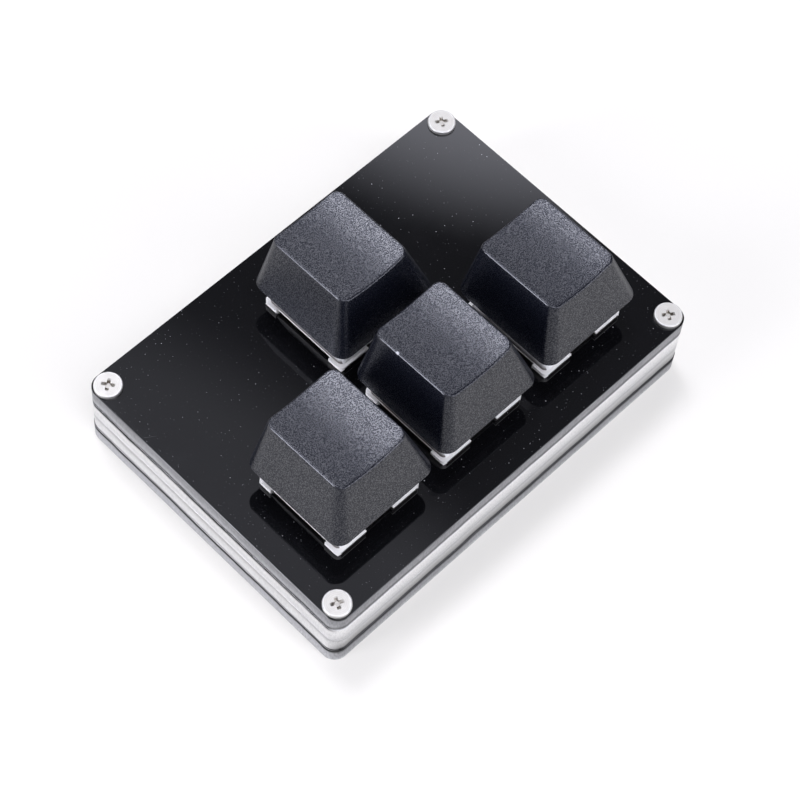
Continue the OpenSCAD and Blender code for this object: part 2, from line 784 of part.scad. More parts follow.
module keycap() {
    post_z = housing_h + socket_gap;
    color("#1b1c20") {
        difference() {
            cap_form(0, cap_rim_r, cap_top_r, cap_rim_z, cap_front_z + dish_h);
            dish();
            difference() {
                cap_form(cap_wall, cap_inner_r, cap_inner_r, cap_rim_z - dish_h, ceiling_z);
                cylinder(d = socket_d, h = 2 * cap_front_z);
                for (a = [0, 90]) rotate([0, 0, a])
                    translate([-cap_x, -rib_t / 2, ceiling_z - rib_h]) cube([2 * cap_x, rib_t, 2 * rib_h]);
            }
            cylinder(d = 1.5 * socket_d, h = post_z);
            linear_extrude(housing_h + cross_h + socket_room) cross_shape(socket_play);
        }
    }
}

// The four keys

module keycap_up() { at_key(UP) keycap(); }
module keycap_left() { at_key(LEFT) keycap(); }
module keycap_down() { at_key(DOWN) keycap(); }
module keycap_right() { at_key(RIGHT) keycap(); }
module stem_up() { at_key(UP) stem(); }
module stem_left() { at_key(LEFT) stem(); }
module stem_down() { at_key(DOWN) stem(); }
module stem_right() { at_key(RIGHT) stem(); }
module return_spring_up() { at_key(UP) return_spring(); }
module return_spring_left() { at_key(LEFT) return_spring(); }
module return_spring_down() { at_key(DOWN) return_spring(); }
module return_spring_right() { at_key(RIGHT) return_spring(); }
module switch_top_up() { at_key(UP) switch_top(); }
module switch_top_left() { at_key(LEFT) switch_top(); }
module switch_top_down() { at_key(DOWN) switch_top(); }
module switch_top_right() { at_key(RIGHT) switch_top(); }
module switch_base_up() { at_key(UP) switch_base(); }
module switch_base_left() { at_key(LEFT) switch_base(); }
module switch_base_down() { at_key(DOWN) switch_base(); }
module switch_base_right() { at_key(RIGHT) switch_base(); }
module contact_leaf_up() { at_key(UP) contact_leaf(); }
module contact_leaf_left() { at_key(LEFT) contact_leaf(); }
module contact_leaf_down() { at_key(DOWN) contact_leaf(); }
module contact_leaf_right() { at_key(RIGHT) contact_leaf(); }
module contact_plate_up() { at_key(UP) contact_plate(); }
module contact_plate_left() { at_key(LEFT) contact_plate(); }
module contact_plate_down() { at_key(DOWN) contact_plate(); }
module contact_plate_right() { at_key(RIGHT) contact_plate(); }

top_plate();
upper_frame();
lower_frame();
bottom_plate();
case_screws();
circuit_board();
solder_joints();
usb_shell();
usb_insert();
usb_contacts();
controller_chip();
chip_leads();
diodes();
resistors();
capacitors();
keycap_up();
stem_up();
return_spring_up();
switch_top_up();
switch_base_up();
contact_leaf_up();
contact_plate_up();
keycap_left();
stem_left();
return_spring_left();
switch_top_left();
switch_base_left();
contact_leaf_left();
contact_plate_left();
keycap_down();
stem_down();
return_spring_down();
switch_top_down();
switch_base_down();
contact_leaf_down();
contact_plate_down();
keycap_right();
stem_right();
return_spring_right();
switch_top_right();
switch_base_right();
contact_leaf_right();
contact_plate_right();
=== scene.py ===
import math

import bpy
from mathutils import Matrix, Vector
from mathutils.geometry import tessellate_polygon


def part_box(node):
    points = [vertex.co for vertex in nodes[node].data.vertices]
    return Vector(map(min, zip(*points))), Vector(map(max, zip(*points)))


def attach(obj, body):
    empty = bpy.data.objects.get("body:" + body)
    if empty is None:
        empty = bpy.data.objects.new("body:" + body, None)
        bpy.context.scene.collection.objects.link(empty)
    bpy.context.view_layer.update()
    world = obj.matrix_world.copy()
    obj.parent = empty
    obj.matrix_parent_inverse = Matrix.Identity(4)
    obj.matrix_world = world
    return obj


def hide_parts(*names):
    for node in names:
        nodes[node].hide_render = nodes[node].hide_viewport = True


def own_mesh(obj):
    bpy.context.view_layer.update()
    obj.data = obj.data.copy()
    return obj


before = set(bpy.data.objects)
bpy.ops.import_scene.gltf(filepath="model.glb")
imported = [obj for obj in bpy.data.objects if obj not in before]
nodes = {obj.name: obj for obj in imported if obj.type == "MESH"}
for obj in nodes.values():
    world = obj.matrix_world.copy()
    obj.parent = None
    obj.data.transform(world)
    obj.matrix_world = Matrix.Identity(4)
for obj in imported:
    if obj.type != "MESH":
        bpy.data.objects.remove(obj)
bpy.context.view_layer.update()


# Camera: it stands before the keypad's front left corner and looks down from about 60 degrees.
# A long lens keeps the sheets' edges nearly parallel, and the picture is turned by a few degrees.
MM = 0.001
turn, rise, roll = math.radians(50.378), math.radians(60.555), math.radians(6.427)
aim, distance, lens = Vector((-4.502, -6.008, 12)) * MM, 333.565, 114.38
back = Vector((-math.sin(turn) * math.cos(rise), -math.cos(turn) * math.cos(rise), math.sin(rise)))
across = (-back).cross(Vector((0, 0, 1))).normalized()
above = across.cross(-back)
picture_x = across * math.cos(roll) + above * math.sin(roll)
picture_y = above * math.cos(roll) - across * math.sin(roll)
axes = Matrix((picture_x, picture_y, back)).transposed()
camera = bpy.data.objects.new("camera", bpy.data.cameras.new("camera"))
camera.data.lens = lens
camera.matrix_world = Matrix.Translation(aim + back * distance * MM) @ axes.to_4x4()
bpy.context.scene.collection.objects.link(camera)
bpy.context.scene.camera = camera
bpy.context.scene.view_settings.view_transform = "Standard"


# Desk: a plain white table top that the keypad lies on, smooth and without gloss.
# It carries on to white for the camera and for reflections, and keeps the keypad's shadow.
def put(tree, kind, **given):
    """A shader node: small letters are its settings, capitals its sockets, i0 and on by number."""
    made = tree.nodes.new("ShaderNode" + kind)
    for name, value in given.items():
        by_number = name[1:].isdigit()
        if name[0].islower() and not by_number:
            setattr(made, name, value)
            continue
        socket = made.inputs[int(name[1:]) if by_number else name.replace("_", " ")]
        if isinstance(value, bpy.types.NodeSocket):
            tree.links.new(value, socket)
        else:
            socket.default_value = value
    return made


def calc(tree, operation, *values):
    sockets = {"i%d" % i: value for i, value in enumerate(values)}
    return put(tree, "Math", operation=operation, **sockets).outputs[0]


def mesh_object(name, points, faces):
    """A mesh from points in millimetres."""
    mesh = bpy.data.meshes.new(name)
    mesh.from_pydata([Vector(p) * MM for p in points], [], faces)
    mesh.validate()
    made = bpy.data.objects.new(name, mesh)
    bpy.context.scene.collection.objects.link(made)
    return made


half, desk_z = 1500, -0.02
desk_corners = ((-half, -half), (half, -half), (half, half), (-half, half))
desk = mesh_object("desk", [(x, y, desk_z) for x, y in desk_corners], [(0, 1, 2, 3)])
desk_white = bpy.data.materials.new("desk_white")
desk_white.use_nodes = True
tree = desk_white.node_tree
tree.nodes.clear()
paint = put(tree, "BsdfDiffuse", Color=(0.549, 0.533, 0.487, 1))
path = put(tree, "LightPath").outputs
seen = calc(tree, "MAXIMUM", path["Is Camera Ray"], path["Is Glossy Ray"])
seen = calc(tree, "MAXIMUM", seen, path["Is Transmission Ray"])
lift = calc(tree, "MULTIPLY", seen, 0.345)
glow = put(tree, "Emission", Color=(0.99, 0.99, 1, 1), Strength=lift)
both = put(tree, "AddShader", i0=paint.outputs[0], i1=glow.outputs[0])
put(tree, "OutputMaterial", Surface=both.outputs[0])
desk.data.materials.append(desk_white)


# Light: a studio of soft boxes round the keypad. The strongest hangs high behind it, a wide one
# high in front, and weaker ones at its sides. The camera sees plain white past the desk's edge.
def between(tree, value, start, end, low=0.0, high=1.0, **kind):
    """Goes from low to high while the value goes from start to end, and stays there beyond."""
    return put(tree, "MapRange", i0=value, i1=start, i2=end, i3=low, i4=high, **kind).outputs[0]


def direction(azimuth, elevation):
    """Azimuth 0 stands behind the keypad, 90 to its right."""
    a, e = math.radians(azimuth), math.radians(elevation)
    return math.sin(a) * math.cos(e), math.cos(a) * math.cos(e), math.sin(e)


def soft_box(tree, azimuth, elevation, inner, outer, strength):
    """How bright a round soft box is: full inside the inner angle, nothing past the outer one."""
    way = put(tree, "TexCoord").outputs["Generated"]
    middle = direction(azimuth, elevation)
    near = put(tree, "VectorMath", operation="DOT_PRODUCT", i0=way, i1=middle).outputs["Value"]
    dim, full = math.cos(math.radians(outer)), math.cos(math.radians(inner))
    return between(tree, near, dim, full, 0.0, strength, interpolation_type="SMOOTHSTEP")


def total(tree, parts):
    sum_of = parts[0]
    for part in parts[1:]:
        sum_of = calc(tree, "ADD", sum_of, part)
    return sum_of


world = bpy.data.worlds.new("room")
world.use_nodes = True
bpy.context.scene.world = world
tree = world.node_tree
tree.nodes.clear()
# Each soft box: azimuth, elevation, inner and outer angle in degrees, and strength
boxes = [soft_box(tree, *each) for each in (
    (17, 66, 5, 10.5, 18.0),
    (200, 65, 10, 20, 5.2),
    (53.3, 45.9, 8, 11.1, 3.3),
    (0, 74.6, 19.7, 22.2, 0.58),
    (176, 34, 10, 26, 2.0),
    (162, 12, 6, 18, 6.4),
    (286, 12, 6, 15, 14.5),
    (290, 32, 6, 14, 4.8),
    (325, 11, 6, 14, 3.0))]
room_light = 0.14
light = calc(tree, "ADD", total(tree, boxes), room_light)
room = put(tree, "Background", Color=(0.955, 0.965, 1.085, 1), Strength=light)
white = put(tree, "Background", Color=(1, 1, 1, 1), Strength=1.0)
seen = put(tree, "LightPath").outputs["Is Camera Ray"]
pick = put(tree, "MixShader", i0=seen, i1=room.outputs[0], i2=white.outputs[0])
put(tree, "OutputWorld", Surface=pick.outputs[0])


# Bottom plate: the lowest sheet of the stack, cast black acrylic cut by a laser.
# Its faces are polished, its cut edges are grey and finely ribbed, and the screws thread into it.
def arc(x, y, r, start, end, steps=8):
    angles = [math.radians(start + (end - start) * i / steps) for i in range(steps + 1)]
    return [(x + r * math.cos(a), y + r * math.sin(a)) for a in angles]


def round_box(x0, x1, y0, y1, r):
    return (arc(x1 - r, y0 + r, r, -90, 0) + arc(x1 - r, y1 - r, r, 0, 90)
            + arc(x0 + r, y1 - r, r, 90, 180) + arc(x0 + r, y0 + r, r, 180, 270))


def shifted(loop, e):
    """A loop moved by e to its left, which is the sheet's side of it."""
    moved = []
    for i, p in enumerate(loop):
        a, b = Vector(p) - Vector(loop[i - 1]), Vector(loop[(i + 1) % len(loop)]) - Vector(p)
        m, n = Vector((-a.y, a.x)).normalized(), Vector((-b.y, b.x)).normalized()
        moved.append(Vector(p) + (m + n) * e / (1 + m.dot(n)))
    return [tuple(p) for p in moved]


def sheet(name, node, loops, ease=0.03, slack=0.0):
    """A flat sheet in place of a node, thinner by the slack above and below.

    The edges of its upper face are broken by ease, and those of its lower face by under.
    """
    under = 0.03
    z0, z1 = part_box(node)[0].z / MM + slack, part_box(node)[1].z / MM - slack
    points, faces, low, high, start = [], [], [], [], 0
    for loop in loops:
        n = len(loop)
        rings = ((shifted(loop, under), z0), (loop, z0 + under),
                 (loop, z1 - ease), (shifted(loop, ease), z1))
        points += [(x, y, z) for ring, z in rings for x, y in ring]
        for k in range(len(rings) - 1):
            for i in range(n):
                a, b = start + k * n + i, start + k * n + (i + 1) % n
                faces.append((a, b, b + n, a + n))
        low += range(start, start + n)
        start += len(rings) * n
        high += range(start - n, start)
    flat = tessellate_polygon([[Vector((x, y, 0)) for x, y in shifted(loop, ease)]
                               for loop in loops])
    for a, b, c in flat:
        pa, pb, pc = (Vector(points[low[i]]) for i in (a, b, c))
        if (pb - pa).cross(pc - pa).z < 0:
            b, c = c, b
        faces += [(low[a], low[c], low[b]), (high[a], high[b], high[c])]
    made = mesh_object(name, points, faces)
    made.data.shade_smooth()
    made.data.set_sharp_from_angle(angle=math.radians(30))
    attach(made, "case")
    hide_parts(node)
    return made


def new_group(name, inputs, outputs):
    """A node group with named outputs, and named inputs with their usual values."""
    group = bpy.data.node_groups.new(name, "ShaderNodeTree")
    for socket, value in inputs.items():
        made = group.interface.new_socket(socket, in_out="INPUT", socket_type="NodeSocketFloat")
        made.default_value = value
    for socket in outputs:
        group.interface.new_socket(socket, in_out="OUTPUT", socket_type="NodeSocketFloat")
    given, result = group.nodes.new("NodeGroupInput"), group.nodes.new("NodeGroupOutput")
    return group, given.outputs, result.inputs


def stretched(tree, along, scale):
    """Where a point is on the object, stretched along its axes and then scaled as a whole."""
    place = put(tree, "TexCoord").outputs["Object"]
    longer = put(tree, "VectorMath", operation="MULTIPLY", i0=place, i1=along).outputs[0]
    return put(tree, "VectorMath", operation="SCALE", i0=longer, Scale=scale).outputs[0]


# Ribs that a laser leaves across a cut edge: Ribs is their height, Shade a slow change of tone
laser_ribs, given, result = new_group("laser_ribs", {"Scale": 1.0}, ["Ribs", "Shade"])
place = stretched(laser_ribs, (1, 1, 0.3), given["Scale"])
ribs = put(laser_ribs, "TexNoise", Vector=place, Scale=5200, Detail=3, Roughness=0.6)
slow = put(laser_ribs, "TexNoise", Vector=place, Scale=420, Detail=2)
laser_ribs.links.new(ribs.outputs[0], result["Ribs"])
laser_ribs.links.new(slow.outputs[0], result["Shade"])

# Dust: specks of many sizes, fewer with a high Rare, and more of them where a slow noise is high.
# A low Narrow draws them out to hairlines.
dust, given, result = new_group(
    "dust", {"Scale": 1.0, "Amount": 0.5, "Narrow": 1.0, "Rare": 0.82}, ["Specks"])
place = put(dust, "TexCoord").outputs["Object"]
turned = put(dust, "VectorRotate", rotation_type="Z_AXIS", Vector=place, Angle=0.6).outputs[0]
narrow = put(dust, "CombineXYZ", X=given["Narrow"], Y=1.0, Z=1.0).outputs[0]
drawn = put(dust, "VectorMath", operation="MULTIPLY", i0=turned, i1=narrow).outputs[0]
sized = put(dust, "VectorMath", operation="SCALE", i0=drawn, Scale=given["Scale"]).outputs[0]
cells = put(dust, "TexVoronoi", Vector=sized, Scale=1500, Randomness=1).outputs
chance = put(dust, "SeparateColor", Color=cells["Color"]).outputs[0]
crowd = put(dust, "TexNoise", Vector=sized, Scale=60, Detail=1).outputs[0]
reach = calc(dust, "MULTIPLY", between(dust, chance, given["Rare"], 1.0, 0.02, 0.16),
             between(dust, crowd, 0.35, 0.65, 0.6, 1.0))
inside = calc(dust, "SUBTRACT", reach, cells["Distance"])
specks = calc(dust, "MULTIPLY", between(dust, inside, 0.0, 0.06), given["Amount"])
dust.links.new(specks, result["Specks"])


def new_finish(name, **plain):
    """A material with one Principled shader, and the values that are the same all over it."""
    made = bpy.data.materials.new(name)
    made.use_nodes = True
    shader = made.node_tree.nodes["Principled BSDF"]
    for socket, value in plain.items():
        shader.inputs[socket.replace("_", " ")].default_value = value
    return made, made.node_tree, shader.inputs


def use(tree, group, **values):
    return put(tree, "Group", node_tree=group, **values).outputs


def blend_colour(tree, factor, a, b):
    """From colour a to colour b as the factor goes from 0 to 1, each given or taken from a node."""
    a, b = (each if isinstance(each, bpy.types.NodeSocket) else (*each, 1) for each in (a, b))
    return put(tree, "Mix", data_type="RGBA", clamp_factor=True, i0=factor, i6=a, i7=b).outputs[2]


def relief(tree, sockets, height, strength, depth):
    """Fine relief of the surface, with its depth in metres."""
    bump = put(tree, "Bump", Strength=strength, Distance=depth, Height=height)
    tree.links.new(bump.outputs[0], sockets["Normal"])


stack_high = 12


def cut_edge_and_shade(tree, marks, front, side, tint=(1, 1, 1), streak=0.3):
    """Colour of a sheet's cut edge by height in mm, with the streaks that the laser leaves.

    One list of tones is for the long front edge, and one for the other three. Both lists hold
    painted shade: the front edge's tones are darker where it lies in shade, and dark bands are
    painted under the overhanging sheets.
    """
    place = put(tree, "TexCoord").outputs
    height = put(tree, "SeparateXYZ", Vector=place["Object"]).outputs["Z"]
    wave = between(tree, marks["Shade"], 0.0, 1.0, -0.00015, 0.00015)
    drift = put(tree, "TexNoise", Vector=place["Object"], Scale=90, Detail=2).outputs[0]
    drift = between(tree, drift, 0.3, 0.7, -0.0002, 0.0002)
    level = calc(tree, "DIVIDE", total(tree, (height, wave, drift)), stack_high * MM)
    ramps = []
    for tones in (front, side):
        ramp = put(tree, "ValToRGB", Fac=level)
        stops = ramp.color_ramp.elements
        for i, (z, tone) in enumerate(tones):
            stop = stops[i] if i < 2 else stops.new(z / stack_high)
            stop.position = z / stack_high
            stop.color = (*(tone * part for part in tint), 1)
        ramps.append(ramp.outputs["Color"])
    # The front edge takes its own tones, with painted shade in them.
    facing_y = put(tree, "SeparateXYZ", Vector=place["Normal"]).outputs["Y"]
    tone = blend_colour(tree, between(tree, facing_y, -0.9, -0.2), *ramps)
    mean = 1.07
    streaks = between(tree, marks["Ribs"], 0.3, 0.7, mean - streak, mean + streak)
    return put(tree, "VectorMath", operation="SCALE", i0=tone, Scale=streaks).outputs[0]


def edge_and_face(tree, sockets, marks, cut, cut_rough, face, face_rough, strength, depth):
    """Sets a sheet's faces and its ribbed cut edges, whose black lines are fully matt."""
    normal = put(tree, "SeparateXYZ", Vector=put(tree, "TexCoord").outputs["Normal"])
    flat = calc(tree, "ABSOLUTE", normal.outputs["Z"])
    edge = between(tree, flat, 0.3, 0.6, 1.0, 0.0)
    tree.links.new(blend_colour(tree, edge, face, cut), sockets["Base Color"])
    matt = between(tree, cut, 0.0, 0.06, 1.0, cut_rough)
    rough = put(tree, "Mix", i0=edge, i2=face_rough, i3=matt)
    tree.links.new(rough.outputs[0], sockets["Roughness"])
    relief(tree, sockets, calc(tree, "MULTIPLY", edge, marks["Ribs"]), strength, depth)


def black_sheet(name, front, side):
    """Polished black acrylic, with the tones of its cut edges, painted shade among them, and with
    dust on its faces.
    """
    made, tree, sockets = new_finish(name, IOR=1.49)
    marks = use(tree, laser_ribs, Scale=0.8)
    cut = cut_edge_and_shade(tree, marks, front, side)
    specks = use(tree, dust, Scale=1.0, Amount=1.0)["Specks"]
    fine = use(tree, dust, Scale=2.2, Amount=0.45, Rare=0.68)["Specks"]
    lines = use(tree, dust, Scale=3.0, Amount=0.25, Narrow=0.02, Rare=0.97)["Specks"]
    faint = use(tree, dust, Scale=1.3, Amount=0.5, Rare=0.2)["Specks"]
    dusty = total(tree, (specks, fine, lines, faint))
    face = blend_colour(tree, dusty, (0.0035, 0.0036, 0.0042), (0.36, 0.36, 0.37))
    wiped = between(tree, marks["Shade"], 0.2, 0.8, 0.02, 0.05)
    edge_and_face(tree, sockets, marks, cut=cut, cut_rough=0.5, face=face, face_rough=wiped,
                  strength=0.5, depth=0.00003)
    return made


def wear(piece, finish):
    """Gives a piece its material in each slot it has, or in a new slot where it has none."""
    if piece.material_slots:
        for place in piece.material_slots:
            place.material = finish
    else:
        piece.data.materials.append(finish)


screw_x, screw_y, thread_r, through_r = 31, 21.5, 1.02, 1.1
case_x, case_y, case_r = 33.1, 23.7, 2


def holes(r):
    return [arc(x, y, r, 360, 0, 20)[:-1]
            for x in (-screw_x, screw_x) for y in (-screw_y, screw_y)]


base_x, base_y = (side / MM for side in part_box("bottom_plate")[1].xy)
outline = round_box(-base_x, base_x, -base_y, base_y, case_r)
bottom = sheet("bottom_sheet", "bottom_plate", [outline] + holes(thread_r))
# Tones by height for its front cut edge and for the others; the front ones hold painted shade, as
# that edge lies in shade.
bottom_front = ((0, 0.45), (0.3, 0.42), (0.6, 0.31), (1, 0.24), (1.75, 0.25), (2.05, 0.14),
                (2.4, 0.027), (2.55, 0), (3, 0))
bottom_side = ((0, 0.39), (1.8, 0.35), (2.05, 0.24), (2.18, 0.06), (2.25, 0), (2.66, 0),
               (2.82, 0.2), (3, 0.55))
wear(bottom, black_sheet("black_acrylic_bottom", bottom_front, bottom_side))


# Clear frames: two rings of clear acrylic that hold the stack apart round the circuit board.
# They are laser-cut like the plates, frosted by the cut inside and out, and open behind the socket.
frame_wall, frame_inner_r, frame_slack = 4, 2, 0.005
socket_x, gap_half = -19.05, 4.7


def open_ring(gap_from, gap_to):
    """A frame's outline: round its outside from one side of the gap, and back round its inside."""
    x, y = case_x - frame_wall, case_y - frame_wall
    outer = round_box(-case_x, case_x, -case_y, case_y, case_r)
    inner = round_box(-x, x, -y, y, frame_inner_r)[::-1]
    k = len(outer) // 2
    return ([(gap_from, case_y)] + outer[k:] + outer[:k] + [(gap_to, case_y), (gap_to, y)]
            + inner[k:] + inner[:k] + [(gap_from, y)])


ring = open_ring(socket_x - gap_half, socket_x + gap_half)
clear, tree, sockets = new_finish("clear_acrylic", IOR=1.49, Transmission_Weight=0.1)
marks = use(tree, laser_ribs, Scale=1.2)
# Tones by height for the front cut edge and for the others: the front ones hold painted shade that
# deepens towards the foot, and the others a painted shadow just under the top plate.
frame_front = ((3, 0), (3.2, 0.025), (3.4, 0.15), (3.7, 0.27), (4.2, 0.32), (4.7, 0.43),
               (5, 0.48), (5.5, 0.38), (5.9, 0.41), (6.4, 0.56), (7, 0.67), (8.4, 0.77),
               (8.8, 0.84), (9, 0.73))
frame_side = ((3, 0.58), (3.2, 0.66), (4.6, 0.63), (5.15, 0.51), (5.35, 0.36), (5.65, 0.36),
              (5.85, 0.49), (6.2, 0.63), (7, 0.6), (7.6, 0.68), (8, 0.64), (8.25, 0.36),
              (8.45, 0.09), (8.56, 0), (9, 0))
cut = cut_edge_and_shade(tree, marks, frame_front, frame_side, tint=(1, 0.985, 0.94), streak=0.18)
edge_and_face(tree, sockets, marks, cut=cut, cut_rough=0.3, face=(0.9, 0.9, 0.9), face_rough=0.03,
              strength=0.6, depth=0.00004)
for name, node in (("lower_ring", "lower_frame"), ("upper_ring", "upper_frame")):
    made = sheet(name, node, [ring] + holes(through_r), slack=frame_slack)
    wear(made, clear)


# Circuit board: a glass-fibre laminate with dark solder mask that the switches are soldered to.
# Copper tracks lie under the mask and show as slightly raised, paler lines.
board, tree, sockets = new_finish("board_laminate", Roughness=0.35)
place = put(tree, "TexCoord").outputs["Object"]
tracks = put(tree, "TexBrick", Vector=place, Scale=120, Mortar_Size=0.06, Mortar=(1, 1, 1, 1),
             Color1=(0, 0, 0, 1), Color2=(0, 0, 0, 1)).outputs["Color"]
green = blend_colour(tree, tracks, (0.008, 0.03, 0.017), (0.02, 0.075, 0.042))
tree.links.new(green, sockets["Base Color"])
relief(tree, sockets, tracks, strength=0.4, depth=0.00004)
wear(nodes["circuit_board"], board)


# Solder, leads, socket shell and contacts: small tinned, plated and gilt metal parts of the board.
# They are bright with a fine drawn or frozen texture.
# Marks: fine scratches or frost, drawn out along Y by a low Long
metal_texture, given, result = new_group("metal_texture", {"Scale": 1.0, "Long": 1.0}, ["Marks"])
along = put(metal_texture, "CombineXYZ", X=1.0, Y=given["Long"], Z=1.0).outputs[0]
place = stretched(metal_texture, along, given["Scale"])
marks = put(metal_texture, "TexNoise", Vector=place, Scale=3000, Detail=4, Roughness=0.65)
metal_texture.links.new(marks.outputs[0], result["Marks"])


def metal(name, dark, pale, smooth, rough, scale=1.0, long=1.0, depth=0.000004):
    """A bright metal, whose marks vary its colour, and its roughness from smooth to rough."""
    made, tree, sockets = new_finish(name, Metallic=1.0)
    marks = use(tree, metal_texture, Scale=scale, Long=long)["Marks"]
    tree.links.new(blend_colour(tree, marks, dark, pale), sockets["Base Color"])
    tree.links.new(between(tree, marks, 0.25, 0.75, smooth, rough), sockets["Roughness"])
    relief(tree, sockets, marks, strength=0.5, depth=depth)
    return made


solder = metal("solder", (0.58, 0.59, 0.61), (0.78, 0.79, 0.8), 0.15, 0.35, 0.5, depth=0.00002)
tin = metal("tinned_leads", (0.6, 0.61, 0.62), (0.76, 0.77, 0.78), 0.25, 0.45)
steel = metal("socket_steel", (0.56, 0.56, 0.57), (0.74, 0.74, 0.75), 0.2, 0.35, long=0.08)
gold = metal("gold_contacts", (0.72, 0.5, 0.16), (0.92, 0.7, 0.3), 0.2, 0.35)
wear(nodes["solder_joints"], solder)
wear(nodes["chip_leads"], tin)
wear(nodes["usb_shell"], steel)
wear(nodes["usb_contacts"], gold)


# Moulded and fired parts of the board: the controller chip, the diodes, the chip resistors and
# capacitors, and the socket's plastic tongue. They are soldered or pressed in, and finely grained.
# Grain: Height is its fine relief, Tone a slow change of tone
grain, given, result = new_group("grain", {"Scale": 1.0}, ["Height", "Tone"])
place = put(grain, "TexCoord").outputs["Object"]
sized = put(grain, "VectorMath", operation="SCALE", i0=place, Scale=given["Scale"]).outputs[0]
fine = put(grain, "TexNoise", Vector=sized, Scale=4200, Detail=1, Roughness=0.4)
slow = put(grain, "TexNoise", Vector=sized, Scale=250, Detail=2)
grain.links.new(fine.outputs[0], result["Height"])
grain.links.new(slow.outputs[0], result["Tone"])


def moulded(name, dark, pale, smooth, rough, scale=1.0, depth=0.00001):
    """A grained plastic or ceramic, whose grain varies its roughness from smooth to rough."""
    made, tree, sockets = new_finish(name)
    look = use(tree, grain, Scale=scale)
    tree.links.new(blend_colour(tree, look["Tone"], dark, pale), sockets["Base Color"])
    tree.links.new(between(tree, look["Height"], 0.3, 0.7, smooth, rough), sockets["Roughness"])
    relief(tree, sockets, look["Height"], strength=0.6, depth=depth)
    return made


for node, name, dark, pale, smooth, rough in (
        ("controller_chip", "chip_epoxy", (0.012, 0.012, 0.013), (0.022, 0.022, 0.024), 0.45, 0.7),
        ("diodes", "diode_epoxy", (0.014, 0.014, 0.015), (0.03, 0.03, 0.032), 0.35, 0.6),
        ("resistors", "resistor_ceramic", (0.012, 0.013, 0.018), (0.03, 0.032, 0.04), 0.2, 0.4),
        ("capacitors", "capacitor_ceramic", (0.34, 0.22, 0.12), (0.5, 0.35, 0.21), 0.4, 0.6),
        ("usb_insert", "socket_plastic", (0.012, 0.012, 0.013), (0.026, 0.026, 0.028), 0.4, 0.6)):
    wear(nodes[node], moulded(name, dark, pale, smooth, rough))


# Top plate: the upper sheet, polished black acrylic that mirrors the caps. Four square holes hold
# the switches. The edges of its upper face are lightly broken, and dust has settled on it.
pitch, hole_half, top_ease = 19.05, 7, 0.04
keys = {"up": (0, 0.5), "left": (-1, -0.5), "down": (0, -0.5), "right": (1, -0.5)}
keys = {key: (column * pitch, row * pitch) for key, (column, row) in keys.items()}
square = ((-hole_half, -hole_half), (-hole_half, hole_half),
          (hole_half, hole_half), (hole_half, -hole_half))
cutouts = [[(x + dx, y + dy) for dx, dy in square] for x, y in keys.values()]
outline = round_box(-case_x, case_x, -case_y, case_y, case_r)
plate = sheet("top_sheet", "top_plate", [outline] + holes(through_r) + cutouts, top_ease)
# Tones by height for the front cut edge and for the others; both hold painted shade, with a dark
# band low on each.
top_front = ((9, 0.67), (9.15, 0.45), (9.3, 0.22), (9.5, 0.071), (9.7, 0.054), (9.9, 0.14),
             (10.3, 0.23), (10.6, 0.21), (11.6, 0.2), (11.8, 0.13), (12, 0.018))
top_side = ((9, 0), (9.2, 0), (9.38, 0.09), (9.5, 0.2), (9.7, 0.31), (9.95, 0.325),
            (10.35, 0.24), (10.9, 0.19), (11.85, 0.17), (12, 0.016))
wear(plate, black_sheet("black_acrylic_top", top_front, top_side))


# Switch bases: the white lower housings, moulded in glass-filled plastic. Each stands in its square
# hole with its notched flange on the plate, and its posts go through the circuit board.
def paint_shade(finish, beside, height, colour):
    """Paints shade on the housings where they lie so far beside their key's middle and so high.

    Each of the two goes from nothing at its first number to full at its second, in mm.
    """
    tree, sockets = finish.node_tree, finish.node_tree.nodes["Principled BSDF"].inputs
    place = put(tree, "SeparateXYZ", Vector=put(tree, "TexCoord").outputs["Object"]).outputs
    aside = calc(tree, "PINGPONG", place["X"], pitch / 2 * MM)
    sideways = between(tree, aside, beside[0] * MM, beside[1] * MM)
    upward = between(tree, place["Z"], height[0] * MM, height[1] * MM)
    mask = calc(tree, "MULTIPLY", sideways, upward)
    clean = sockets["Base Color"].links[0].from_socket
    tree.links.new(blend_colour(tree, mask, clean, colour), sockets["Base Color"])


base_white = moulded("housing_white", (0.96, 0.94, 0.9), (1, 0.985, 0.95), 0.35, 0.5,
                     scale=0.8, depth=0.000006)
# Painted shade: the body is painted nearly black inside the notch line and below the flange's lip,
# so the recess under each side notch looks dark.
paint_shade(base_white, beside=(6.9, 6.75), height=(12.78, 12.72), colour=(0.035, 0.028, 0.022))
for key in keys:
    wear(nodes["switch_base_" + key], base_white)


# Contact leaves and fixed contacts: stamped copper alloy, bent to shape and pressed into slots of
# the base. A leaf meets its fixed contact when the key goes down.
alloy = metal("contact_alloy", (0.66, 0.48, 0.2), (0.86, 0.68, 0.36), 0.2, 0.4,
              scale=0.7, long=0.1)
for key in keys:
    wear(nodes["contact_leaf_" + key], alloy)
    wear(nodes["contact_plate_" + key], alloy)


# Return springs: drawn steel wire wound into a helix, with its end turns closed on each other.
# Each stands on the base's floor round the boss and presses the stem up. In the switch it shortens
# with the key; here it keeps one length.
spring_low, spring_high, coil_r, wire_r, floor_z, pressed = 8.17, 16.63, 2.05, 0.15, 8.0, 0.545


